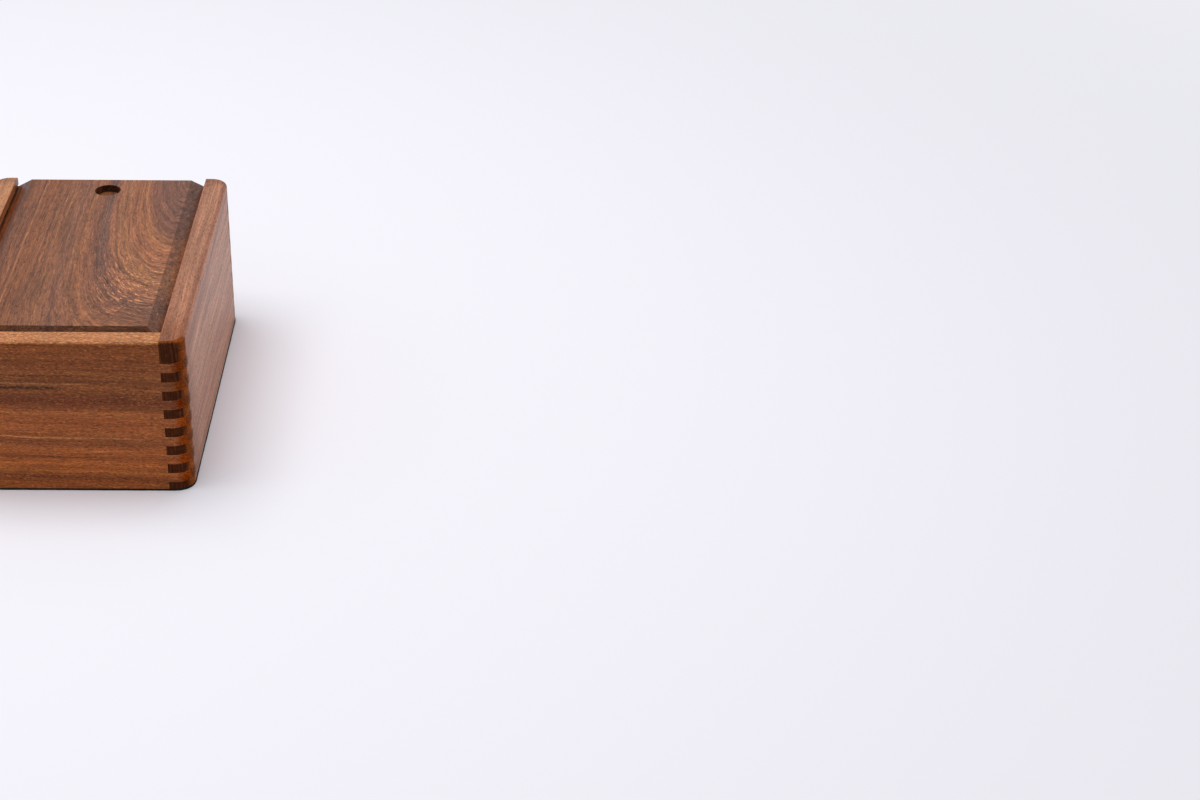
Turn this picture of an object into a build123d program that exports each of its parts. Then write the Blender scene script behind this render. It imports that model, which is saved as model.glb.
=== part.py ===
from build123d import *
import os

# A hardwood storage box with finger-jointed corners and a raised-panel lid that slides out at
# the back. A divider makes two compartments, lined with felt, and felt covers the underside.
# Millimetres. +X is to the right, +Y to the back and +Z up, from the middle of the underside.

# Boards
box_width = 158.0            # outside, from left to right
box_length = 240.0           # outside, from front to back
board_height = 102.8         # front and side boards
side_thickness = 15.0
end_thickness = 13.5         # front and back boards
corner_radius = 11.0         # upright outer corners
top_edge_radius = 2.5        # outer top edges
finger_height = 6.4
foot_finger = 5.0            # part finger of the side board at the foot of each corner

# Sliding lid
lid_thickness = 10.0
lid_set_down = 1.0           # from the tops of the sides down to the lid's face
lid_end_inset = 2.2          # from the box's back to the lid's back edge
tongue_thickness = 5.0
groove_depth = 5.0
slide_clearance = 0.4
bevel_width = 9.4
bevel_margin = 0.6           # from the wall to the foot of the bevel
notch_diameter = 17.0
notch_from_end = 17.0        # from the lid's back edge to the notch's middle
notch_depth = 5.0
notch_flat = 5.0             # flat floor by the notch's back wall, before it ramps up
notch_lip = 0.4              # depth where the ramp ends at the front

# Bottom and divider
bottom_thickness = 6.0
rabbet_width = 7.0
panel_play = 0.3             # round the bottom panel's edges
divider_thickness = 6.0
dado_depth = 4.0
divider_play = 0.2           # at each end of the divider

# Felt
base_felt_thickness = 1.2
base_felt_inset = 0.3
lining_thickness = 1.0
floor_lining_thickness = 1.2
lining_gap = 0.3             # between the edges of neighbouring linings
lining_drop = 4.0            # from the divider's top to the tops of the linings

# Places that follow from the sizes
over_cut = 1.0               # how far a cutter runs past the face that it opens
half_width = box_width / 2
half_length = box_length / 2
inner_half_width = half_width - side_thickness
inner_half_length = half_length - end_thickness
board_foot = base_felt_thickness
board_top = board_foot + board_height
panel_top = board_foot + bottom_thickness
lid_top = board_top - lid_set_down
lid_bottom = lid_top - lid_thickness
tongue_top = lid_bottom + tongue_thickness
rim = lid_bottom - slide_clearance
lid_half_width = inner_half_width + groove_depth - slide_clearance
lid_front = -(inner_half_length + groove_depth - slide_clearance)
lid_back = half_length - lid_end_inset
lining_foot = panel_top + floor_lining_thickness
lining_top = rim - lining_drop
front_bay = (-inner_half_length, -divider_thickness / 2)
rear_bay = (divider_thickness / 2, inner_half_length)


def block(x, y, z):
    """A block between two values on each axis."""
    spans = [sorted(pair) for pair in (x, y, z)]
    middle = [(low + high) / 2 for low, high in spans]
    size = [high - low for low, high in spans]
    return Pos(*middle) * Box(*size)


def plate(x, y, level):
    """A flat rectangle at one level."""
    middle = Pos((x[0] + x[1]) / 2, (y[0] + y[1]) / 2, level)
    return middle * Rectangle(x[1] - x[0], y[1] - y[0])


def outer_form():
    """The outside of the glued-up box, which rounds each board's ends and top."""
    outline = RectangleRounded(box_width, box_length, corner_radius)
    form = Pos(0, 0, board_foot) * extrude(outline, board_height)
    rounding = min(top_edge_radius, 0.8 * corner_radius)
    return fillet(form.edges().group_by(Axis.Z)[-1], rounding)


def finger_levels():
    """The foot and top of each finger of the front and back boards, all below the lid."""
    step = 2 * finger_height
    first = board_foot + foot_finger
    count = int((rim - first + finger_height) // step)
    return [(first + n * step, first + n * step + finger_height) for n in range(count)]


def lid_groove():
    """The space that the lid's tongues run in: closed at the front and open at the back."""
    reach = inner_half_width + groove_depth
    front = -(inner_half_length + groove_depth)
    return block((-reach, reach), (front, half_length + over_cut), (rim, tongue_top + slide_clearance))


def bottom_rabbet():
    """The step along the foot of the four boards that the bottom panel is let into."""
    x = inner_half_width + rabbet_width
    y = inner_half_length + rabbet_width
    return block((-x, x), (-y, y), (board_foot - over_cut, panel_top))


def divider_dado():
    """The slots in both sides that hold the divider's ends."""
    reach = inner_half_width + dado_depth
    return block((-reach, reach), (front_bay[1], rear_bay[0]), (panel_top, rim))


def end_board(end, top):
    """A front (end -1) or back (end 1) board with a row of fingers at each corner."""
    y = (end * inner_half_length, end * half_length)
    board = block((-inner_half_width, inner_half_width), y, (board_foot, top))
    for level in finger_levels():
        board += block((-half_width, half_width), y, level)
    return board - bottom_rabbet()


def front_board():
    """Full height, with a groove for the lid's front tongue."""
    return (end_board(-1, board_top) - lid_groove()) & outer_form()


def back_board():
    """Lower than the other boards, so that the lid slides out over it."""
    return end_board(1, rim) & outer_form()


def side_board(side):
    """A left (side -1) or right (side 1) board, which ends in sockets for the fingers."""
    x = (side * inner_half_width, side * half_width)
    board = block(x, (-half_length, half_length), (board_foot, board_top))
    for end in (-1, 1):
        y = (end * inner_half_length, end * half_length)
        for level in finger_levels():
            board -= block(x, y, level)
    board = board - lid_groove() - bottom_rabbet() - divider_dado()
    return board & outer_form()


def thumb_notch():
    """A round notch with a steep back wall and a floor that ramps up to the front."""
    radius = notch_diameter / 2
    middle = lid_back - notch_from_end
    floor = lid_top - notch_depth
    top = lid_top + over_cut
    profile = Polyline(
        (middle - radius, top),
        (middle - radius, lid_top - notch_lip),
        (middle + radius - notch_flat, floor),
        (middle + radius, floor),
        (middle + radius, top),
        close=True,
    )
    scoop = extrude(Plane.YZ * make_face(profile), radius, both=True)
    bore = Cylinder(radius, top - floor, align=(Align.CENTER, Align.CENTER, Align.MIN))
    return scoop & (Pos(0, middle, floor) * bore)


def lid_panel():
    """Raised panel: tongues left, right and front, bevels above them, and a square back edge."""
    foot_x = inner_half_width - bevel_margin
    foot_y = bevel_margin - inner_half_length
    field_x = foot_x - bevel_width
    field_y = foot_y + bevel_width
    tongues = block((-lid_half_width, lid_half_width), (lid_front, lid_back), (lid_bottom, tongue_top))
    bevel_foot = plate((-foot_x, foot_x), (foot_y, lid_back), tongue_top)
    field = plate((-field_x, field_x), (field_y, lid_back), lid_top)
    return tongues + loft([bevel_foot, field]) - thumb_notch()


def bottom_panel():
    """Thin panel, flush with the boards' undersides."""
    x = inner_half_width + rabbet_width - panel_play
    y = inner_half_length + rabbet_width - panel_play
    return block((-x, x), (-y, y), (board_foot, panel_top))


def divider():
    """Board across the middle of the box, as high as the back board."""
    reach = inner_half_width + dado_depth - divider_play
    return block((-reach, reach), (front_bay[1], rear_bay[0]), (panel_top, rim))


def base_felt():
    """Felt sheet under the whole box."""
    width = box_width - 2 * base_felt_inset
    length = box_length - 2 * base_felt_inset
    outline = RectangleRounded(width, length, corner_radius - base_felt_inset)
    return extrude(outline, base_felt_thickness)


def floor_lining(bay):
    """Felt on the bottom of one compartment."""
    x = inner_half_width - lining_gap
    return block((-x, x), (bay[0] + lining_gap, bay[1] - lining_gap), (panel_top, lining_foot))


def end_lining(face, into):
    """Felt on a wall that faces along Y. into is the side on which the compartment lies."""
    x = inner_half_width - lining_thickness - lining_gap
    return block((-x, x), (face, face + into * lining_thickness), (lining_foot, lining_top))


def side_lining(side, bay):
    """Felt on the left (side -1) or right (side 1) wall of one compartment."""
    x = (side * (inner_half_width - lining_thickness), side * inner_half_width)
    return block(x, (bay[0] + lining_gap, bay[1] - lining_gap), (lining_foot, lining_top))


pieces = {
    "front_board": front_board(),
    "back_board": back_board(),
    "left_side": side_board(-1),
    "right_side": side_board(1),
    "bottom_panel": bottom_panel(),
    "base_felt": base_felt(),
    "divider": divider(),
    "front_wall_lining": end_lining(front_bay[0], 1),
    "divider_lining_front": end_lining(front_bay[1], -1),
    "divider_lining_rear": end_lining(rear_bay[0], 1),
    "back_wall_lining": end_lining(rear_bay[1], -1),
    "lid_panel": lid_panel(),
}
for name, bay in (("front", front_bay), ("rear", rear_bay)):
    pieces[f"floor_lining_{name}"] = floor_lining(bay)
    pieces[f"left_lining_{name}"] = side_lining(-1, bay)
    pieces[f"right_lining_{name}"] = side_lining(1, bay)

os.makedirs("parts", exist_ok=True)
for name, piece in pieces.items():
    export_step(piece, f"parts/{name}.step")
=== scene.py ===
import math
import bpy
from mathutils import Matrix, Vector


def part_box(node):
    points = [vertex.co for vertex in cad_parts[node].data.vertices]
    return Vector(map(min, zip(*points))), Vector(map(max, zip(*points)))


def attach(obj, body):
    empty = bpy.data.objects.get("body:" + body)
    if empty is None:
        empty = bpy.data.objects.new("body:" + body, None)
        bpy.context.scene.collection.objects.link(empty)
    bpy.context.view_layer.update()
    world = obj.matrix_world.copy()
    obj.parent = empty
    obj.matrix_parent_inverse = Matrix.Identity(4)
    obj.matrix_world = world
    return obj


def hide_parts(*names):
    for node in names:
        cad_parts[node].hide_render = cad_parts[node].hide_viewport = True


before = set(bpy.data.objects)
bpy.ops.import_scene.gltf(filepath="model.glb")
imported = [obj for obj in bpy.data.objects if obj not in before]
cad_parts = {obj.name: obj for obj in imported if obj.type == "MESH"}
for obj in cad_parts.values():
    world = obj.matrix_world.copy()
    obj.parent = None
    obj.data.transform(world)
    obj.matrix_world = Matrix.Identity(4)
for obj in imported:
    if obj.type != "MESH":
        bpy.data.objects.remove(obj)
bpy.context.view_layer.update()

# The studio: a pale seamless floor, one broad soft lamp overhead and a little to the left, and even light
# from all round. The camera stands where the photographer did, 1.8 m off, and looks down 29 degrees.
camera_place = (0.317654, -1.581185, 0.877805)
camera_turn = (60.9483, -0.5049, -0.2419)
film_width = 36.0            # millimetres, as the lens is
camera_lens = 82.107
sight_limit = 60.0
floor_size = 24.0
floor_pale = "#f7f6fb"       # what the camera sees
floor_bounce = "#d0cbc8"     # what lights the box from below, darker
paper_rises = (0.6, 1.5)     # metres off at which the floor starts to fade into the room, and has faded
room_pale = "#f2f2f8"
room_light = 0.53
lamp_size = 1.6
lamp_place = (-0.3, 0.1, 1.95)
lamp_watts = 26.5


def paint(hex_colour):
    """An sRGB hex colour as the linear RGBA that nodes take."""
    shares = [int(hex_colour[i:i + 2], 16) / 255 for i in (1, 3, 5)]
    linear = [s / 12.92 if s <= 0.04045 else ((s + 0.055) / 1.055) ** 2.4 for s in shares]
    return (*linear, 1.0)


def add_node(tree, kind, settings=None, sockets=None, stops=()):
    """Adds a node. A socket is given a value, or another node's output to be linked to.
    stops are the places and hex colours of a colour ramp."""
    made = tree.nodes.new(kind)
    for name, value in (settings or {}).items():
        setattr(made, name, value)
    for place, value in (sockets or {}).items():
        if isinstance(value, bpy.types.NodeSocket):
            tree.links.new(value, made.inputs[place])
        else:
            made.inputs[place].default_value = value
    for n, (place, colour) in enumerate(stops):
        stop = made.color_ramp.elements[n] if n < 2 else made.color_ramp.elements.new(1.0)
        stop.position = place
        stop.color = paint(colour)
    return made


def new_material(name):
    """An empty node material and its tree."""
    material = bpy.data.materials.new(name)
    material.use_nodes = True
    material.node_tree.nodes.clear()
    return material, material.node_tree


def seen_rays(tree):
    """1 for the rays that see the background or its reflection, and 0 for those that carry its light."""
    ray = add_node(tree, "ShaderNodeLightPath")
    seen = ray.outputs["Is Camera Ray"]
    for kind in ("Is Glossy Ray", "Is Transmission Ray"):
        either = add_node(tree, "ShaderNodeMath", {"operation": "MAXIMUM"}, {0: seen, 1: ray.outputs[kind]})
        seen = either.outputs[0]
    return seen


bpy.ops.object.camera_add(location=camera_place, rotation=[math.radians(a) for a in camera_turn])
camera = bpy.context.object
camera.data.sensor_width = film_width
camera.data.lens = camera_lens
camera.data.clip_end = sight_limit
bpy.context.scene.camera = camera
bpy.context.scene.view_settings.view_transform = "Standard"

bpy.ops.object.light_add(type="AREA", location=lamp_place)
lamp = bpy.context.object
lamp.data.shape = "SQUARE"
lamp.data.size = lamp_size
lamp.data.energy = lamp_watts
lamp.rotation_euler = (-lamp.location).to_track_quat("-Z", "Y").to_euler()

world = bpy.data.worlds.new("studio_room")
bpy.context.scene.world = world
world.use_nodes = True
world.node_tree.nodes.clear()
level = add_node(world.node_tree, "ShaderNodeMapRange",
                 sockets={"Value": seen_rays(world.node_tree), "To Min": room_light})
room = add_node(world.node_tree, "ShaderNodeBackground",
                sockets={"Color": paint(room_pale), "Strength": level.outputs[0]})
add_node(world.node_tree, "ShaderNodeOutputWorld", sockets={"Surface": room.outputs[0]})

floor_material, tree = new_material("pale_paper")
seen = seen_rays(tree)
paper = add_node(tree, "ShaderNodeMix", {"data_type": "RGBA"},
                 {0: seen, 6: paint(floor_bounce), 7: paint(floor_pale)})
matt = add_node(tree, "ShaderNodeBsdfDiffuse", sockets={"Color": paper.outputs[2]})
# Far from the box the paper rises into the room, so that no horizon shows.
place = add_node(tree, "ShaderNodeTexCoord")
distance = add_node(tree, "ShaderNodeVectorMath", {"operation": "LENGTH"}, {0: place.outputs["Object"]})
far = add_node(tree, "ShaderNodeMapRange", {"interpolation_type": "SMOOTHSTEP"},
               {"Value": distance.outputs["Value"], "From Min": paper_rises[0], "From Max": paper_rises[1]})
far = add_node(tree, "ShaderNodeMath", {"operation": "MULTIPLY"}, {0: far.outputs[0], 1: seen})
glow = add_node(tree, "ShaderNodeEmission", sockets={"Color": paint(room_pale)})
cove = add_node(tree, "ShaderNodeMixShader",
                sockets={0: far.outputs[0], 1: matt.outputs[0], 2: glow.outputs[0]})
add_node(tree, "ShaderNodeOutputMaterial", sockets={"Surface": cove.outputs[0]})
bpy.ops.mesh.primitive_plane_add(size=floor_size, location=(0, 0, 0))
floor = bpy.context.object
floor.name = "floor"
floor.data.materials.append(floor_material)

# Front board: flat-sawn acacia with its grain running across the box, seven fingers at each end
# and a groove for the lid's tongue. Glued up, sanded flush and given a satin varnish.
mm = 1000.0
end_inner = 106.5            # inner faces of the front and back boards, in mm from the box's middle
board_top = 104.0            # top of the front and side boards, in mm
arris_radius = 0.0004        # the sanded edges that hands touch
joint_line = 0.00007         # the hairline that shows where two boards meet
joint_angle = 60             # edges sharper than this get the hairline
smooth_angle = 35            # faces that meet at less than this shade as one
flat_angle = 0.5             # and faces at less than this are made one
merge_distance = 0.000005    # points nearer than this are made one
noise_span = (0.3, 0.7)      # where nearly all of a noise's values lie
pore_rate = (0.3, 1.6, 1.6)  # pores per mm, along and across the grain
pore_edge = (0.56, 0.68)     # the noise's values where a pore begins and is whole
pore_tone = -0.4             # how much darker a pore is
pore_dip = -0.7              # how deep a pore is beside the fibres' ridges
fleck_edge = (0.5, 0.68)     # the noise's values where a pale fleck begins and is whole
relief = 0.00006             # height of the fibres' ridges under the varnish, and how much of it is kept
relief_kept = 0.35
ring_shades = (0.86, 1.14)   # darkest and palest rings on the faces, and then on the end grain
end_ring_shades = (0.72, 1.3)
varnish_ior = 1.45
varnish_shine = 0.2
end_grain_shine = 0.02
varnish_roughness = (0.5, 0.34)          # in the pores, and on the fibres' ridges


def grain_space(tree, order):
    """Object coordinates in millimetres, their first axis along the grain. order is such as XZY."""
    place = add_node(tree, "ShaderNodeTexCoord")
    scaled = add_node(tree, "ShaderNodeVectorMath", {"operation": "SCALE"},
                      {0: place.outputs["Object"], "Scale": mm})
    split = add_node(tree, "ShaderNodeSeparateXYZ", sockets={0: scaled.outputs[0]})
    sockets = {n: split.outputs["XYZ".index(axis)] for n, axis in enumerate(order)}
    return add_node(tree, "ShaderNodeCombineXYZ", sockets=sockets).outputs[0]


def wavy(tree, space, stretch, swing, offset=(0.0, 0.0, 0.0)):
    """The same space with its across-grain axes pushed to and fro by soft noise, swing mm in all."""
    shrunk = add_node(tree, "ShaderNodeVectorMath", {"operation": "MULTIPLY_ADD"},
                      {0: space, 1: stretch, 2: offset})
    noise = add_node(tree, "ShaderNodeTexNoise",
                     sockets={"Vector": shrunk.outputs[0], "Scale": 1.0, "Detail": 2.0})
    push = add_node(tree, "ShaderNodeVectorMath", {"operation": "MULTIPLY_ADD"},
                    {0: noise.outputs["Color"], 1: (0.0, swing, swing), 2: (0.0, -swing / 2, -swing / 2)})
    pushed = add_node(tree, "ShaderNodeVectorMath", {"operation": "ADD"}, {0: space, 1: push.outputs[0]})
    return pushed.outputs[0]


def growth_rings(tree, flow, across, offset):
    """0 to 1 over the growth rings, whose lines stand square to across, given in rings per mm."""
    along = add_node(tree, "ShaderNodeVectorMath", {"operation": "DOT_PRODUCT"}, {0: flow, 1: across})
    moved = add_node(tree, "ShaderNodeMath", {"operation": "ADD"}, {0: along.outputs["Value"], 1: offset})
    return add_node(tree, "ShaderNodeTexNoise", {"noise_dimensions": "1D"},
                    {"W": moved.outputs[0], "Scale": 1.0, "Detail": 4.0, "Roughness": 0.6}).outputs[0]


def streak(tree, tone, space, across, width, full, gone, share, colour):
    """A tone with one streak along the grain laid over it. The streak has its middle and width across the
    grain, where along the grain it is full and where it is gone, and its share and colour."""
    split = add_node(tree, "ShaderNodeSeparateXYZ", sockets={0: space})
    away = add_node(tree, "ShaderNodeMath", {"operation": "SUBTRACT"}, {0: split.outputs[1], 1: across})
    away = add_node(tree, "ShaderNodeMath", {"operation": "ABSOLUTE"}, {0: away.outputs[0]})
    near = add_node(tree, "ShaderNodeMapRange", {"interpolation_type": "SMOOTHSTEP"},
                    {"Value": away.outputs[0], "From Min": 0.0, "From Max": width / 2,
                     "To Min": share, "To Max": 0.0})
    there = add_node(tree, "ShaderNodeMapRange", {"interpolation_type": "SMOOTHSTEP"},
                     {"Value": split.outputs[0], "From Min": full, "From Max": gone,
                      "To Min": 1.0, "To Max": 0.0})
    amount = add_node(tree, "ShaderNodeMath", {"operation": "MULTIPLY"},
                      {0: near.outputs[0], 1: there.outputs[0]})
    return add_node(tree, "ShaderNodeMix", {"data_type": "RGBA"},
                    {0: amount.outputs[0], 6: tone, 7: paint(colour)}).outputs[2]


def varnished(tree, flow, tone, rings, grain_axis, end_grain, fibre, speckle, fleck, top):
    """Satin-varnished acacia over a tone: fibres, speckle, pores, pale flecks and end grain, and the shader.
    end_grain holds the tint of slanted faces, the tone of end grain, and the slants where each begins and is
    whole; the tint is slanted grain, and on the side boards' corners and the lid's bevels painted shade as
    well. fibre and speckle hold how often they come per mm along and across the grain, and their strength.
    fleck holds the same two rates, a colour and a share. top holds painted light: the tint that sets upward
    faces lighter or darker than the sides, as light falls on them, and the slants where it begins and is
    whole."""
    slant_tint, end_tone, slant_range, end_range = end_grain
    painted_light_tint, top_range = top
    # Fibres and flecks are 0.02 to 0.3 mm wide, too fine to show, so they are drawn 0.4 to 1.5 mm wide.
    layers = []
    for n, (along, across, strength) in enumerate((fibre, speckle)):
        space = add_node(tree, "ShaderNodeVectorMath", {"operation": "MULTIPLY_ADD"},
                         {0: flow, 1: (along, across, across), 2: (n * 7.0, n * 3.0, 0.0)})
        layer = add_node(tree, "ShaderNodeTexNoise",
                         sockets={"Vector": space.outputs[0], "Scale": 1.0, "Detail": 3.0, "Roughness": 0.65})
        layers.append(layer.outputs[0])
        change = add_node(tree, "ShaderNodeMapRange", {"clamp": False},
                          {"Value": layer.outputs[0], "From Min": noise_span[0], "From Max": noise_span[1],
                           "To Min": 1.0 - strength, "To Max": 1.0 + strength})
        shade = change if n == 0 else add_node(tree, "ShaderNodeMath", {"operation": "MULTIPLY"},
                                               {0: shade.outputs[0], 1: change.outputs[0]})
    line = add_node(tree, "ShaderNodeMapRange",
                    sockets={"Value": rings, "From Min": noise_span[0], "From Max": noise_span[1],
                             "To Min": ring_shades[0], "To Max": ring_shades[1]})
    shade = add_node(tree, "ShaderNodeMath", {"operation": "MULTIPLY"},
                     {0: shade.outputs[0], 1: line.outputs[0]})
    along, across, fleck_tone, share = fleck
    fleck_space = add_node(tree, "ShaderNodeVectorMath", {"operation": "MULTIPLY_ADD"},
                           {0: flow, 1: (along, across, across), 2: (7.0, 3.0, 5.0)})
    fleck_mask = add_node(tree, "ShaderNodeTexNoise",
                          sockets={"Vector": fleck_space.outputs[0], "Scale": 1.0, "Detail": 2.0,
                                   "Roughness": 0.6})
    fleck_mask = add_node(tree, "ShaderNodeMapRange", {"interpolation_type": "SMOOTHSTEP"},
                          {"Value": fleck_mask.outputs[0],
                           "From Min": fleck_edge[0], "From Max": fleck_edge[1]})
    fleck_mask = add_node(tree, "ShaderNodeMath", {"operation": "MULTIPLY"},
                          {0: fleck_mask.outputs[0], 1: share})
    # Pores are 0.1 to 0.2 mm across, too fine to show, so they are drawn about 0.5 mm across.
    pore_space = add_node(tree, "ShaderNodeVectorMath", {"operation": "MULTIPLY_ADD"},
                          {0: flow, 1: pore_rate, 2: (1.0, 9.0, 2.0)})
    pore = add_node(tree, "ShaderNodeTexNoise",
                    sockets={"Vector": pore_space.outputs[0], "Scale": 1.0, "Detail": 1.0})
    pore = add_node(tree, "ShaderNodeMapRange", {"interpolation_type": "SMOOTHSTEP"},
                    {"Value": pore.outputs[0], "From Min": pore_edge[0], "From Max": pore_edge[1]})
    pitted = add_node(tree, "ShaderNodeMath", {"operation": "MULTIPLY_ADD"},
                      {0: pore.outputs[0], 1: pore_tone, 2: 1.0})
    shade = add_node(tree, "ShaderNodeMath", {"operation": "MULTIPLY"},
                     {0: shade.outputs[0], 1: pitted.outputs[0]})
    flecked = add_node(tree, "ShaderNodeMix", {"data_type": "RGBA"},
                       {0: fleck_mask.outputs[0], 6: tone, 7: paint(fleck_tone)})
    # Painted light and sheen: upward faces take a tint of their own, which sets them lighter or darker than
    # the sides.
    facing_box = add_node(tree, "ShaderNodeTexCoord")
    level = add_node(tree, "ShaderNodeSeparateXYZ", sockets={0: facing_box.outputs["Normal"]})
    upward = add_node(tree, "ShaderNodeMapRange", {"interpolation_type": "SMOOTHSTEP"},
                      {"Value": level.outputs[2], "From Min": top_range[0], "From Max": top_range[1]})
    upper = add_node(tree, "ShaderNodeVectorMath", {"operation": "MULTIPLY"},
                     {0: flecked.outputs[2], 1: painted_light_tint})
    lit = add_node(tree, "ShaderNodeMix", {"data_type": "RGBA"},
                   {0: upward.outputs[0], 6: flecked.outputs[2], 7: upper.outputs[0]})
    face = add_node(tree, "ShaderNodeVectorMath", {"operation": "SCALE"},
                    {0: lit.outputs[2], "Scale": shade.outputs[0]})

    # End grain: dark, because light runs down the fibres, with the rings as fine lines across it.
    facing = add_node(tree, "ShaderNodeVectorMath", {"operation": "DOT_PRODUCT"},
                      {0: facing_box.outputs["Normal"], 1: grain_axis})
    facing = add_node(tree, "ShaderNodeMath", {"operation": "ABSOLUTE"}, {0: facing.outputs["Value"]})
    slant = add_node(tree, "ShaderNodeMapRange", {"interpolation_type": "SMOOTHSTEP"},
                     {"Value": facing.outputs[0], "From Min": slant_range[0], "From Max": slant_range[1]})
    square = add_node(tree, "ShaderNodeMapRange", {"interpolation_type": "SMOOTHSTEP"},
                      {"Value": facing.outputs[0], "From Min": end_range[0], "From Max": end_range[1]})
    # Slanted faces take a tint for their slanted grain, which on the side boards' corners and the lid's bevels
    # is also painted shade.
    slant_tinted = add_node(tree, "ShaderNodeVectorMath", {"operation": "MULTIPLY"},
                     {0: face.outputs[0], 1: slant_tint})
    turned = add_node(tree, "ShaderNodeMix", {"data_type": "RGBA"},
                      {0: slant.outputs[0], 6: face.outputs[0], 7: slant_tinted.outputs[0]})
    ring_line = add_node(tree, "ShaderNodeMapRange",
                         sockets={"Value": rings, "From Min": 0.35, "From Max": 0.65,
                                  "To Min": end_ring_shades[0], "To Max": end_ring_shades[1]})
    ring_line = add_node(tree, "ShaderNodeMath", {"operation": "MULTIPLY"},
                         {0: ring_line.outputs[0], 1: shade.outputs[0]})
    end_face = add_node(tree, "ShaderNodeVectorMath", {"operation": "SCALE"},
                        {0: paint(end_tone)[:3], "Scale": ring_line.outputs[0]})
    colour = add_node(tree, "ShaderNodeMix", {"data_type": "RGBA"},
                      {0: square.outputs[0], 6: turned.outputs[2], 7: end_face.outputs[0]})

    height = add_node(tree, "ShaderNodeMath", {"operation": "MULTIPLY_ADD"},
                      {0: pore.outputs[0], 1: pore_dip, 2: layers[0]})
    bump = add_node(tree, "ShaderNodeBump",
                    sockets={"Height": height.outputs[0], "Strength": relief_kept, "Distance": relief})
    dull = add_node(tree, "ShaderNodeMapRange",
                    sockets={"Value": height.outputs[0], "From Min": -0.3, "From Max": 0.8,
                             "To Min": varnish_roughness[0], "To Max": varnish_roughness[1]})
    # End grain drinks the varnish and keeps little of its shine.
    shine = add_node(tree, "ShaderNodeMapRange",
                     sockets={"Value": slant.outputs[0], "To Min": varnish_shine, "To Max": end_grain_shine})
    skin = add_node(tree, "ShaderNodeBsdfPrincipled",
                    sockets={"Base Color": colour.outputs[2], "Roughness": dull.outputs[0], "IOR": varnish_ior,
                             "Specular IOR Level": shine.outputs[0], "Normal": bump.outputs[0]})
    add_node(tree, "ShaderNodeOutputMaterial", sockets={"Surface": skin.outputs[0]})


def board_from(name, soft_edge):
    """A board over its packed form: merged, its flats made whole, and the edges that soft_edge picks
    rounded."""
    bpy.ops.object.select_all(action="DESELECT")
    board = bpy.data.objects.new(f"{name}_wood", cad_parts[name].data.copy())
    board.data.materials.clear()
    bpy.context.collection.objects.link(board)
    board.select_set(True)
    bpy.context.view_layer.objects.active = board
    bpy.ops.object.mode_set(mode="EDIT")
    bpy.ops.mesh.select_all(action="SELECT")
    bpy.ops.mesh.remove_doubles(threshold=merge_distance)
    bpy.ops.mesh.dissolve_limited(angle_limit=math.radians(flat_angle))
    bpy.ops.mesh.select_all(action="DESELECT")
    bpy.ops.mesh.select_mode(type="EDGE")
    bpy.ops.object.mode_set(mode="OBJECT")
    corners = board.data.vertices
    for edge in board.data.edges:
        edge.select = soft_edge(corners[edge.vertices[0]].co * mm, corners[edge.vertices[1]].co * mm)
    bpy.ops.object.mode_set(mode="EDIT")
    bpy.ops.mesh.bevel(offset=arris_radius, segments=3, affect="EDGES", clamp_overlap=True)
    bpy.ops.object.mode_set(mode="OBJECT")
    finish_edges(board, joint_line, 2, joint_angle)
    return board


def apply_modifier(piece, kind, settings):
    """Gives the active piece a modifier with its settings, and applies it."""
    bpy.ops.object.modifier_add(type=kind)
    modifier = piece.modifiers[-1]
    for name, value in settings.items():
        setattr(modifier, name, value)
    bpy.ops.object.modifier_apply(modifier=modifier.name)


def round_edges(piece, width, segments, sharper_than):
    """Rounds the active piece's edges that are sharper than an angle in degrees."""
    apply_modifier(piece, "BEVEL", {"width": width, "segments": segments, "limit_method": "ANGLE",
                                    "angle_limit": math.radians(sharper_than)})


def finish_edges(piece, width, segments, sharper_than):
    """Rounded edges, with flat faces that shade flat beside them."""
    round_edges(piece, width, segments, sharper_than)
    bpy.ops.object.shade_smooth_by_angle(angle=math.radians(smooth_angle))
    apply_modifier(piece, "WEIGHTED_NORMAL", {"keep_sharp": True})


def on(a, b, axis, value, room=0.05):
    """True if an edge from a to b lies at a value of an axis, in mm."""
    return abs(a["xyz".index(axis)] - value) < room and abs(b["xyz".index(axis)] - value) < room


front_wood, tree = new_material("acacia_front_board")
grain_tilt = (0, 0, math.radians(1.6))
grain = add_node(tree, "ShaderNodeMapping",
                 sockets={"Vector": grain_space(tree, "XZY"), "Rotation": grain_tilt})
bands = wavy(tree, grain.outputs[0], (0.012, 0.03, 0.03), 4.0, (3.1, 0.4, 0.0))
bands = wavy(tree, bands, (0.07, 0.3, 0.3), 1.8)
split = add_node(tree, "ShaderNodeSeparateXYZ", sockets={0: bands})
height = add_node(tree, "ShaderNodeMapRange",
                  sockets={"Value": split.outputs[1], "From Min": 0.0, "From Max": board_top})
front_bands = [
    (0.00, "#a2582a"), (0.05, "#9d5327"), (0.09, "#894824"), (0.13, "#b46531"), (0.19, "#b66431"),
    (0.235, "#9b5329"), (0.28, "#b76634"), (0.32, "#a15931"), (0.355, "#96522c"), (0.40, "#aa5f33"),
    (0.47, "#a45930"), (0.53, "#ad6336"), (0.57, "#904e2a"), (0.60, "#71361c"), (0.645, "#7c4123"),
    (0.69, "#94542d"), (0.74, "#7f4524"), (0.775, "#93542d"), (0.83, "#844725"), (0.90, "#904e26"),
    (1.00, "#84441e"),
]
tone = add_node(tree, "ShaderNodeValToRGB", sockets={0: height.outputs[0]}, stops=front_bands).outputs[0]
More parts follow.
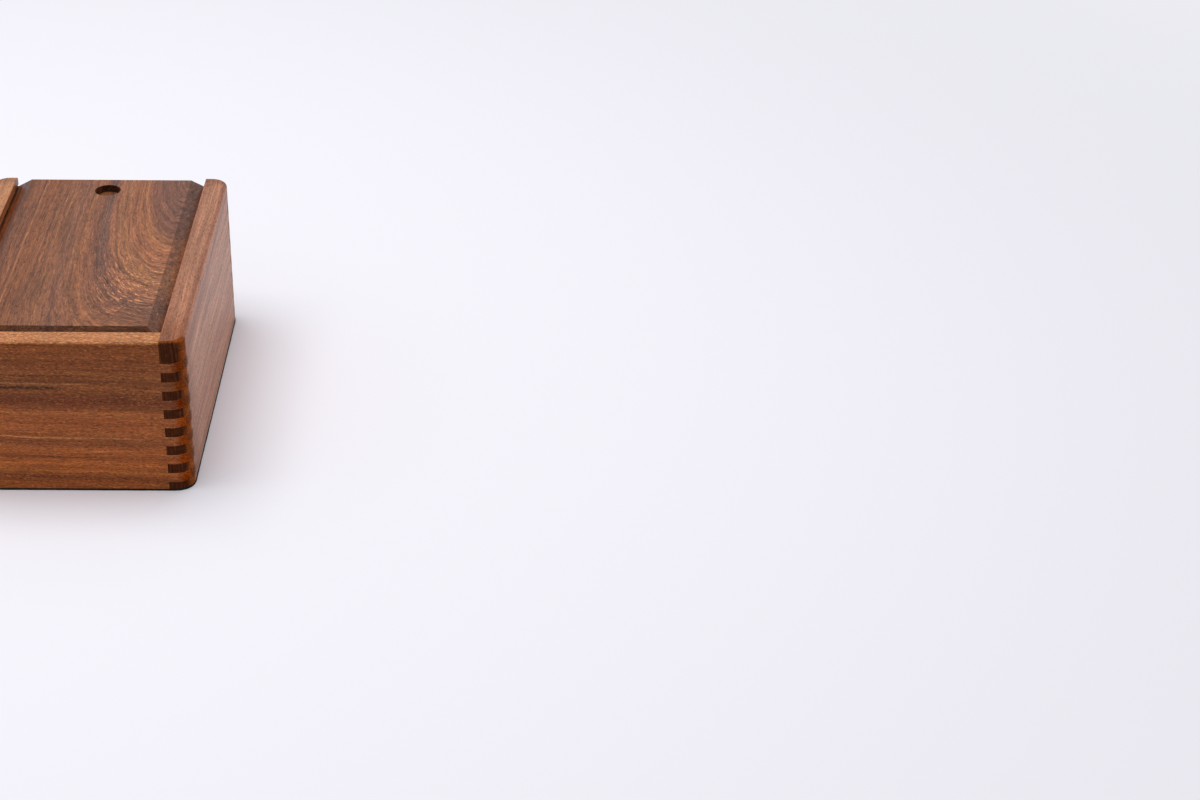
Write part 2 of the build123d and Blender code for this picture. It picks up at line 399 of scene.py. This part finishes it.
front_streaks = [
    (72.4, 4.0, -14.0, 16.0, 0.95, "#1a0b06"),
    (80.6, 1.6, 0.0, 34.0, 0.55, "#4a2716"),
    (75.2, 1.8, 4.0, 24.0, 0.5, "#cf9160"),
    (38.0, 1.6, 30.0, 60.0, 0.5, "#d8955f"),
    (33.5, 4.0, 50.0, 64.0, 0.35, "#70391f"),
    (24.0, 2.4, -10.0, 12.0, 0.4, "#6a3419"),
    (9.5, 3.0, -14.0, 40.0, 0.5, "#5f2f18"),
]
for across, width, full, gone, share, colour in front_streaks:
    tone = streak(tree, tone, bands, across, width, full, gone, share, colour)
rings = growth_rings(tree, bands, (0.0, 0.28, 0.55), 4.0)
cross_board_ends = ((0.86, 0.54, 0.17), "#76411f", (0.06, 0.6), (0.72, 0.98))
cross_board_fibre = (0.02, 0.8, 0.27)
cross_board_speckle = (0.5, 1.3, 0.42)
cross_board_fleck = (0.45, 1.5, "#cf8f52", 0.35)
# Painted light and sheen: the boards' upward faces are tinted paler and bluer than their fronts.
painted_top_light = ((1.82, 2.5, 3.4), (0.2, 0.7))
varnished(tree, bands, tone, rings, (1, 0, 0), cross_board_ends, cross_board_fibre, cross_board_speckle,
          cross_board_fleck, painted_top_light)
front_board = board_from("front_board", lambda a, b: on(a, b, "y", -end_inner) and on(a, b, "z", board_top))
front_board.data.materials.append(front_wood)
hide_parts("front_board")
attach(front_board, "box")

# Back board: as the front one, but lower, so that the lid slides out over its softened top edge.
# Its wood is a little plainer, and it carries the same fingers.
low_top = 92.6               # top of the back board and the divider, in mm
end_outer = 120.0            # outer faces of the end boards, in mm
edge_rounding = 3.0          # the rounding of their top edges starts within this

back_wood, tree = new_material("acacia_back_board")
grain = grain_space(tree, "XZY")
bands = wavy(tree, grain, (0.008, 0.024, 0.024), 12.0, (9.3, 4.4, 2.0))
rings = growth_rings(tree, bands, (0.0, 0.11, 0.5), 11.0)
back_bands = [(0.28, "#8a4c2b"), (0.42, "#a86035"), (0.55, "#b46b3d"), (0.68, "#985630")]
tone = add_node(tree, "ShaderNodeValToRGB", sockets={0: rings}, stops=back_bands).outputs[0]
varnished(tree, bands, tone, rings, (1, 0, 0), cross_board_ends, cross_board_fibre, cross_board_speckle,
          cross_board_fleck, painted_top_light)
back_board = board_from("back_board", lambda a, b: on(a, b, "z", low_top) and (
    on(a, b, "y", end_inner) or on(a, b, "y", end_outer, edge_rounding)))
back_board.data.materials.append(back_wood)
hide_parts("back_board")
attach(back_board, "box")

# Side boards: acacia with its grain from front to back, cut with sockets for the end boards' fingers,
# a groove for the lid and a slot for the divider. Their end grain shows dark between the fingers.
side_inner = 64.0            # inner faces of the sides, in mm from the box's middle
board_middle = 52.0          # half the boards' height, in mm
all_over = 2000.0            # a streak so wide, in mm, that it covers a board's whole height evenly
# The side boards' rounded corners are tinted darker and more orange: slanted grain, and painted shade.
side_grain_and_shade = ((0.88, 0.68, 0.32), "#4d2716", (0.0, 0.22), (0.46, 0.84))
side_fibre = (0.012, 0.35, 0.3)
side_speckle = (0.3, 1.0, 0.26)
side_fleck = (0.3, 1.1, "#d6a079", 0.25)
left_bands = [(0.3, "#b05e2f"), (0.5, "#ca7944"), (0.7, "#bb6c3a")]
right_bands = [(0.3, "#a8694f"), (0.45, "#be7f60"), (0.6, "#c98b69"), (0.72, "#b27356")]
# Each side's last value is its painted top light: the left board's top is tinted bluer and the right one's
# darker than its side face.
for name, side, offset, side_bands, side_painted_light in (
    ("left_side", -1, 2.0, left_bands, (0.81, 1.05, 1.34)),
    ("right_side", 1, 31.0, right_bands, (0.72, 0.715, 0.69)),
):
    side_wood, tree = new_material(f"acacia_{name}")
    grain = grain_space(tree, "YZX")
    bands = wavy(tree, grain, (0.006, 0.03, 0.03), 5.0, (offset, 1.7, 0.0))
    rings = growth_rings(tree, bands, (0.0, 0.05, 0.75), offset)
    broad_rings = growth_rings(tree, bands, (0.0, 0.05, 0.25), offset)
    tone = add_node(tree, "ShaderNodeValToRGB", sockets={0: broad_rings}, stops=side_bands).outputs[0]
    # Darker and redder wood towards the ends, over the whole height, and along the upper edge at the front.
    tone = streak(tree, tone, grain, board_middle, all_over, -108.0, -72.0, 0.8, "#934f22")
    tone = streak(tree, tone, grain, board_middle, all_over, 114.0, 104.0, 0.6, "#8a4f2c")
    tone = streak(tree, tone, grain, 94.0, 30.0, -60.0, 10.0, 0.7, "#9a5026")
    varnished(tree, bands, tone, rings, (0, 1, 0), side_grain_and_shade, side_fibre, side_speckle, side_fleck,
              (side_painted_light, (0.5, 0.95)))
    board = board_from(name, lambda a, b: on(a, b, "x", side * side_inner) and on(a, b, "z", board_top))
    board.data.materials.append(side_wood)
    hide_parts(name)
    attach(board, "box")

# Bottom panel: birch plywood let into a step along the foot of the four boards and glued there.
# Pale face veneer, with its plies as light and dark lines along the edges.
ply_thickness = 1.2          # millimetres
veneer_relief = 0.0001       # height of its grain, in metres, and how much of it is kept
veneer_relief_kept = 0.3
ply, tree = new_material("birch_plywood")
grain = grain_space(tree, "YXZ")
veneer = wavy(tree, grain, (0.01, 0.05, 0.05), 6.0)
rings = growth_rings(tree, veneer, (0.0, 0.3, 0.0), 3.0)
veneer_bands = [(0.3, "#c9a06c"), (0.5, "#dcb988"), (0.7, "#d2ac78")]
tone = add_node(tree, "ShaderNodeValToRGB", sockets={0: rings}, stops=veneer_bands).outputs[0]
split = add_node(tree, "ShaderNodeSeparateXYZ", sockets={0: grain})
plies = add_node(tree, "ShaderNodeMath", {"operation": "PINGPONG"}, {0: split.outputs[2], 1: ply_thickness})
plies = add_node(tree, "ShaderNodeMapRange", {"interpolation_type": "SMOOTHSTEP"},
                 {"Value": plies.outputs[0], "From Min": 0.4, "From Max": 0.8, "To Min": 0.6})
colour = add_node(tree, "ShaderNodeVectorMath", {"operation": "SCALE"}, {0: tone, "Scale": plies.outputs[0]})
bump = add_node(tree, "ShaderNodeBump",
                sockets={"Height": rings, "Strength": veneer_relief_kept, "Distance": veneer_relief})
raw = add_node(tree, "ShaderNodeBsdfPrincipled",
               sockets={"Base Color": colour.outputs[0], "Roughness": 0.62, "Normal": bump.outputs[0]})
add_node(tree, "ShaderNodeOutputMaterial", sockets={"Surface": raw.outputs[0]})
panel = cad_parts["bottom_panel"]
panel.data.materials.clear()
panel.data.materials.append(ply)

# Divider: a thin acacia board across the middle of the box, its ends in a slot in each side.
# It is as high as the back board, so that the lid runs over its softened top edge.
divider_half = 3.0           # half its thickness, in mm
divider_wood, tree = new_material("acacia_divider")
grain = grain_space(tree, "XZY")
bands = wavy(tree, grain, (0.008, 0.03, 0.03), 8.0, (15.0, 2.0, 0.0))
rings = growth_rings(tree, bands, (0.0, 0.14, 0.4), 7.0)
divider_bands = [(0.3, "#955633"), (0.5, "#b87346"), (0.7, "#a56338")]
tone = add_node(tree, "ShaderNodeValToRGB", sockets={0: rings}, stops=divider_bands).outputs[0]
varnished(tree, bands, tone, rings, (1, 0, 0), cross_board_ends, cross_board_fibre, cross_board_speckle,
          cross_board_fleck, painted_top_light)
divider = board_from("divider", lambda a, b: on(a, b, "z", low_top) and (
    on(a, b, "y", divider_half) or on(a, b, "y", -divider_half)))
divider.data.materials.append(divider_wood)
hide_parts("divider")
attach(divider, "box")

# Base felt: one sheet of dark green wool felt under the whole box, cut to its rounded outline and glued on.
# Its colours are darker than the linings' felt, as painted shade at the box's foot, so seen from the side it
# is a thin dark line with a slightly uneven edge.
felt_cell = 0.004            # spacing of the mesh over a sheet of felt
fewest_cells = 6             # along a side of it
felt_solid = 0.96            # shares of a sheet's thickness: the cloth itself, its rounded edges and its lumps
felt_rounding = 0.3
felt_unevenness = 0.16
lump_size = 0.006
felt_edge_angle = 50         # edges sharper than this are rounded
felt_smooth_angle = 60       # faces that meet at less than this shade as one
felt_relief = 0.0004         # height of the fibres' tangle, and how much of it is kept
felt_relief_kept = 0.8
fibre_tangle = 900.0         # tangles per metre
felt_patches = 60.0          # paler and darker patches per metre


def wool_felt(name, dark, light, sheen):
    """Pressed wool felt: matt, mottled and covered in short tangled fibres, whose sheen lifts it seen
    edge-on. The fibres are 0.02 mm thick, too fine to show, so their tangle is drawn about 1 mm wide."""
    felt, tree = new_material(name)
    place = add_node(tree, "ShaderNodeTexCoord")
    tangle = add_node(tree, "ShaderNodeTexNoise",
                      sockets={"Vector": place.outputs["Object"], "Scale": fibre_tangle, "Detail": 4.0,
                               "Roughness": 0.7, "Distortion": 1.2})
    patch = add_node(tree, "ShaderNodeTexNoise",
                     sockets={"Vector": place.outputs["Object"], "Scale": felt_patches, "Detail": 3.0})
    mixed = add_node(tree, "ShaderNodeMath", {"operation": "MULTIPLY_ADD"},
                     {0: patch.outputs[0], 1: 0.5, 2: tangle.outputs[0]})
    colour = add_node(tree, "ShaderNodeValToRGB", sockets={0: mixed.outputs[0]},
                      stops=[(0.45, dark), (0.95, light)])
    bump = add_node(tree, "ShaderNodeBump",
                    sockets={"Height": tangle.outputs[0], "Strength": felt_relief_kept,
                             "Distance": felt_relief})
    skin = add_node(tree, "ShaderNodeBsdfPrincipled",
                    sockets={"Base Color": colour.outputs[0], "Roughness": 0.95, "Specular IOR Level": 0.1,
                             "Normal": bump.outputs[0], "Sheen Weight": sheen, "Sheen Roughness": 0.5,
                             "Sheen Tint": paint("#a9c0ae")})
    add_node(tree, "ShaderNodeOutputMaterial", sockets={"Surface": skin.outputs[0]})
    return felt


def felt_sheet(name, node, thin_axis, material, round_corner=0.0, overhang=0.0):
    """A soft-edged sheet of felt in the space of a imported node: a grid, thickened, rounded and slightly
    uneven. overhang is how far its edges stand past the node."""
    low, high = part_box(node)
    size = high - low
    for n in range(3):
        size[n] += 0.0 if n == thin_axis else 2 * overhang
    middle = (low + high) / 2
    flat_axes = [n for n in range(3) if n != thin_axis]
    cells = [max(fewest_cells, round(size[n] / felt_cell)) for n in flat_axes]
    bpy.ops.object.select_all(action="DESELECT")
    bpy.ops.mesh.primitive_grid_add(x_subdivisions=cells[0], y_subdivisions=cells[1], size=1.0)
    sheet = bpy.context.object
    sheet.name = name
    sheet.scale = (size[flat_axes[0]], size[flat_axes[1]], 1.0)
    bpy.ops.object.transform_apply(scale=True)
    if round_corner:
        half = (size[flat_axes[0]] / 2 - round_corner, size[flat_axes[1]] / 2 - round_corner)
        for point in sheet.data.vertices:
            past = [abs(point.co[n]) - half[n] for n in range(2)]
            if past[0] > 0 and past[1] > 0:
                reach = max(past) / math.hypot(*past)
                for n in range(2):
                    point.co[n] = math.copysign(half[n] + past[n] * reach, point.co[n])
    thickness = size[thin_axis]
    apply_modifier(sheet, "SOLIDIFY", {"thickness": thickness * felt_solid, "offset": 0.0})
    round_edges(sheet, thickness * felt_rounding, 3, felt_edge_angle)
    lumps = bpy.data.textures.new(f"{name}_lumps", "CLOUDS")
    lumps.noise_scale = lump_size
    apply_modifier(sheet, "DISPLACE",
                   {"texture": lumps, "strength": thickness * felt_unevenness, "mid_level": 0.6})
    if thin_axis == 0:
        sheet.rotation_euler = (math.radians(90), 0, math.radians(90))
    elif thin_axis == 1:
        sheet.rotation_euler = (math.radians(90), 0, 0)
    sheet.location = middle
    bpy.ops.object.transform_apply(location=True, rotation=True, scale=True)
    bpy.ops.object.shade_smooth_by_angle(angle=math.radians(felt_smooth_angle))
    sheet.data.materials.append(material)
    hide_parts(node)
    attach(sheet, "box")
    return sheet


# Painted shade: the base felt's colours are darker than those of the linings' felt.
shaded_base_felt = wool_felt("base_wool_felt", "#0c1713", "#1d2e26", 0.0)
base_overhang = 0.0007       # 0.4 mm past the boards, which shows as a dark line along their foot
base_corner = 0.0114         # radius of its corners
base_felt = felt_sheet("base_felt_sheet", "base_felt", 2, shaded_base_felt, base_corner, base_overhang)

# Linings: sheets of the same green felt, cut to the floor and walls of each compartment and glued in.
# They keep the chess pieces from rattling, and stop a little below the rim.
lining = wool_felt("lining_wool_felt", "#21483a", "#356553", 0.35)
for node, thin_axis, held, backing in (
    ("floor_lining_front", 2, "laid", "bottom_panel"),
    ("floor_lining_rear", 2, "laid", "bottom_panel"),
    ("front_wall_lining", 1, "stretched", "front_board"),
    ("divider_lining_front", 1, "stretched", "divider"),
    ("divider_lining_rear", 1, "stretched", "divider"),
    ("back_wall_lining", 1, "stretched", "back_board"),
    ("left_lining_front", 0, "stretched", "left_side"),
    ("left_lining_rear", 0, "stretched", "left_side"),
    ("right_lining_front", 0, "stretched", "right_side"),
    ("right_lining_rear", 0, "stretched", "right_side"),
):
    sheet = felt_sheet(f"{node}_sheet", node, thin_axis, lining)

# Lid: one wide acacia panel with its grain from front to back. Tongues left, right and front run in the
# boards' grooves, bevels rise from them to the raised field, and a thumb notch is cut near the back edge.
lid_low, lid_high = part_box("lid_panel")
tongue_top = 0.098
bevel_foot_x = 0.0634
bevel_foot_y = -0.1059
bevel_run = 0.0094
notch_radius = 0.0085
notch_centre_y = 0.1008
notch_floor = 0.098
notch_ramp = ((0.1043, 0.098), (0.0923, 0.1026))   # (y, z) of the ramp's foot and top
notch_room = 0.012           # half the square of the field that the notch is cut in
scoop_height = 0.012
lid_arris = 0.0005
lid_arris_angle = 22
close = 0.0001               # two points nearer than this are at the same place

# The figure's sizes in mm. The wider a hook is, the farther forward it closes round the dark patch.
patch_line = 54.0            # middle of the dark patch, to the right of the lid's middle
hooks_start = 121.0          # where along the lid the narrowest hook closes
hooks_end = -129.0           # and where the hook does that runs hook_reach out from the patch
hook_reach = 66.0
hook_spread = 70.0           # how far aside of the patch the hooks have faded to about a third
hook_power = 1.7             # between a slanted line at 1 and a squarer hook at 3
figure_width = 130.0
everywhere = (400.0, 500.0)  # a streak that is full and gone past the lid's end runs its whole length
fleck_oval = (1.0, 1.8, 1.0)             # the oval is 1.8 times as long as wide
fleck_middle = (-44.0, 67.0, 103.0)      # its middle, in the space that this stretches
fleck_fade = (6.0, 62.0)     # distances from there at which the flecks are densest and sparsest
fleck_shares = (0.72, 0.17)  # their shares at those distances
patch_rim = (22.0, 30.0)     # the reach where the flecks begin and are whole
patch_share = 0.2            # how much of them is left on the patch
lid_fibre = (0.012, 0.6, 0.44)
lid_speckle = (0.1, 1.4, 0.42)
# Painted light: the raised field is tinted half again paler than its bevels and tongues.
lid_painted_light = ((1.52, 1.52, 1.55), (0.9, 0.985))

lid_wood, tree = new_material("acacia_lid")
grain = grain_space(tree, "YXZ")
# The figure: straight grain on the left, and on the right the rings close in long nested hooks round a
# dark patch, where the saw came near the heart of a branch. reach is the distance out from that patch.
bent = wavy(tree, grain, (0.012, 0.03, 0.03), 5.0, (2.0, 5.0, 0.0))
bent = wavy(tree, bent, (0.14, 0.3, 0.3), 1.1)
split = add_node(tree, "ShaderNodeSeparateXYZ", sockets={0: bent})
aside = add_node(tree, "ShaderNodeMath", {"operation": "SUBTRACT"}, {0: patch_line, 1: split.outputs[1]})
aside = add_node(tree, "ShaderNodeMath", {"operation": "ABSOLUTE"}, {0: aside.outputs[0]})
ahead = add_node(tree, "ShaderNodeMapRange",
                 sockets={"Value": split.outputs[0], "From Min": hooks_start, "From Max": hooks_end,
                          "To Min": 0.0, "To Max": hook_reach})
fade = add_node(tree, "ShaderNodeMath", {"operation": "MULTIPLY"}, {0: aside.outputs[0], 1: aside.outputs[0]})
fade = add_node(tree, "ShaderNodeMath", {"operation": "MULTIPLY"},
                {0: fade.outputs[0], 1: -1 / hook_spread ** 2})
fade = add_node(tree, "ShaderNodeMath", {"operation": "EXPONENT"}, {0: fade.outputs[0]})
ahead = add_node(tree, "ShaderNodeMath", {"operation": "MULTIPLY"}, {0: ahead.outputs[0], 1: fade.outputs[0]})
aside_part = add_node(tree, "ShaderNodeMath", {"operation": "POWER"}, {0: aside.outputs[0], 1: hook_power})
ahead_part = add_node(tree, "ShaderNodeMath", {"operation": "POWER"}, {0: ahead.outputs[0], 1: hook_power})
both = add_node(tree, "ShaderNodeMath", {"operation": "ADD"},
                {0: aside_part.outputs[0], 1: ahead_part.outputs[0]})
reach = add_node(tree, "ShaderNodeMath", {"operation": "POWER"}, {0: both.outputs[0], 1: 1 / hook_power})
along = add_node(tree, "ShaderNodeMath", {"operation": "SUBTRACT"}, {0: split.outputs[0], 1: split.outputs[1]})
figure = add_node(tree, "ShaderNodeCombineXYZ",
                  sockets={0: along.outputs[0], 1: reach.outputs[0], 2: split.outputs[2]}).outputs[0]
rings = growth_rings(tree, figure, (0.0, 0.3, 0.5), 3.0)
zone = add_node(tree, "ShaderNodeMapRange",
                sockets={"Value": reach.outputs[0], "From Min": 0.0, "From Max": figure_width})
lid_zones = [
    (0.00, "#5c3828"), (0.12, "#5e3a2a"), (0.18, "#633b27"), (0.215, "#7e4d2c"), (0.26, "#744429"),
    (0.31, "#7b4d2e"), (0.36, "#6e412b"), (0.39, "#563426"), (0.42, "#653b25"), (0.47, "#6d4125"),
    (0.53, "#5f3926"), (0.58, "#6b4025"), (0.65, "#5e351d"), (0.70, "#67391b"), (0.74, "#5a301a"),
    (0.78, "#5f351d"), (0.84, "#552e17"), (0.92, "#5e3116"),
]
tone = add_node(tree, "ShaderNodeValToRGB", sockets={0: zone.outputs[0]}, stops=lid_zones).outputs[0]
tone = streak(tree, tone, figure, 96.0, 2.4, *everywhere, 0.45, "#a56c3e")
tone = streak(tree, tone, figure, 50.0, 8.0, 10.0, -60.0, 0.65, "#452e25")
# The left bevel is darker and redder. A near-black line along its foot is painted shadow, in the gap between
# the lid and the left board.
tone = streak(tree, tone, grain, -59.5, 15.0, *everywhere, 0.75, "#5c2a10")
tone = streak(tree, tone, grain, -63.4, 3.4, *everywhere, 0.97, "#100401")
# Golden flecks gather in a long oval over the hooks and stay off the dark patch.
swirl = add_node(tree, "ShaderNodeVectorMath", {"operation": "MULTIPLY"}, {0: grain, 1: fleck_oval})
swirl = add_node(tree, "ShaderNodeVectorMath", {"operation": "DISTANCE"},
                 {0: swirl.outputs[0], 1: fleck_middle})
swirl = add_node(tree, "ShaderNodeMapRange", {"interpolation_type": "SMOOTHSTEP"},
                 {"Value": swirl.outputs["Value"], "From Min": fleck_fade[0], "From Max": fleck_fade[1],
                  "To Min": fleck_shares[0], "To Max": fleck_shares[1]})
clear = add_node(tree, "ShaderNodeMapRange", {"interpolation_type": "SMOOTHSTEP"},
                 {"Value": reach.outputs[0], "From Min": patch_rim[0], "From Max": patch_rim[1],
                  "To Min": patch_share, "To Max": 1.0})
swirl = add_node(tree, "ShaderNodeMath", {"operation": "MULTIPLY"}, {0: swirl.outputs[0], 1: clear.outputs[0]})
# The lid's bevels are tinted darker: slanted grain, and painted shade.
lid_grain_and_shade = ((0.68, 0.76, 1.05), "#3f271c", (0.25, 0.47), (0.7, 0.95))
lid_fleck = (0.07, 2.8, "#c68852", swirl.outputs[0])
varnished(tree, figure, tone, rings, (0, 1, 0), lid_grain_and_shade, lid_fibre, lid_speckle, lid_fleck, lid_painted_light)

bpy.ops.object.select_all(action="DESELECT")
bpy.ops.mesh.primitive_cube_add(size=1.0)
lid = bpy.context.object
lid.name = "lid_raised_panel"
lid.scale = (lid_high.x - lid_low.x, lid_high.y - lid_low.y, tongue_top - lid_low.z)
lid.location = ((lid_low.x + lid_high.x) / 2, (lid_low.y + lid_high.y) / 2, (lid_low.z + tongue_top) / 2)
bpy.ops.object.transform_apply(location=True, rotation=True, scale=True)
bpy.ops.object.mode_set(mode="EDIT")
for place, across in (
    ((-bevel_foot_x, 0, 0), (1, 0, 0)),
    ((bevel_foot_x, 0, 0), (1, 0, 0)),
    ((0, bevel_foot_y, 0), (0, 1, 0)),
    ((-notch_room, 0, 0), (1, 0, 0)),
    ((notch_room, 0, 0), (1, 0, 0)),
    ((0, notch_centre_y - notch_room, 0), (0, 1, 0)),
    ((0, notch_centre_y + notch_room, 0), (0, 1, 0)),
):
    bpy.ops.mesh.select_all(action="SELECT")
    bpy.ops.mesh.bisect(plane_co=place, plane_no=across)
bpy.ops.mesh.select_all(action="DESELECT")
bpy.ops.mesh.select_mode(type="FACE")
bpy.ops.object.mode_set(mode="OBJECT")
for face in lid.data.polygons:
    face.select = face.normal.z > 0.9 and abs(face.center.x) < bevel_foot_x and face.center.y > bevel_foot_y
bpy.ops.object.mode_set(mode="EDIT")
bpy.ops.mesh.extrude_region_move(TRANSFORM_OT_translate={"value": (0, 0, lid_high.z - tongue_top)})
bpy.ops.object.mode_set(mode="OBJECT")
for point in lid.data.vertices:
    if point.co.z > lid_high.z - close:
        if abs(point.co.x) > bevel_foot_x - close:
            point.co.x = math.copysign(bevel_foot_x - bevel_run, point.co.x)
        if point.co.y < bevel_foot_y + close:
            point.co.y = bevel_foot_y + bevel_run

bpy.ops.object.select_all(action="DESELECT")
bpy.ops.mesh.primitive_cylinder_add(vertices=96, radius=notch_radius, depth=scoop_height,
                                    location=(0, notch_centre_y, notch_floor + scoop_height / 2))
scoop = bpy.context.object
bpy.ops.object.transform_apply(location=True, rotation=True, scale=True)
(foot_y, foot_z), (top_y, top_z) = notch_ramp
bpy.ops.object.mode_set(mode="EDIT")
bpy.ops.mesh.select_all(action="SELECT")
slope = math.atan2(top_z - foot_z, foot_y - top_y)
bpy.ops.mesh.bisect(plane_co=(0, foot_y, foot_z), plane_no=(0, -math.sin(slope), -math.cos(slope)),
                    use_fill=True, clear_outer=True, threshold=0.000001)
bpy.ops.object.mode_set(mode="OBJECT")
bpy.ops.object.select_all(action="DESELECT")
lid.select_set(True)
bpy.context.view_layer.objects.active = lid
apply_modifier(lid, "BOOLEAN", {"object": scoop, "operation": "DIFFERENCE", "solver": "EXACT"})
bpy.data.objects.remove(scoop)
finish_edges(lid, lid_arris, 3, lid_arris_angle)
lid.data.materials.append(lid_wood)
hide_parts("lid_panel")
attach(lid, "lid")
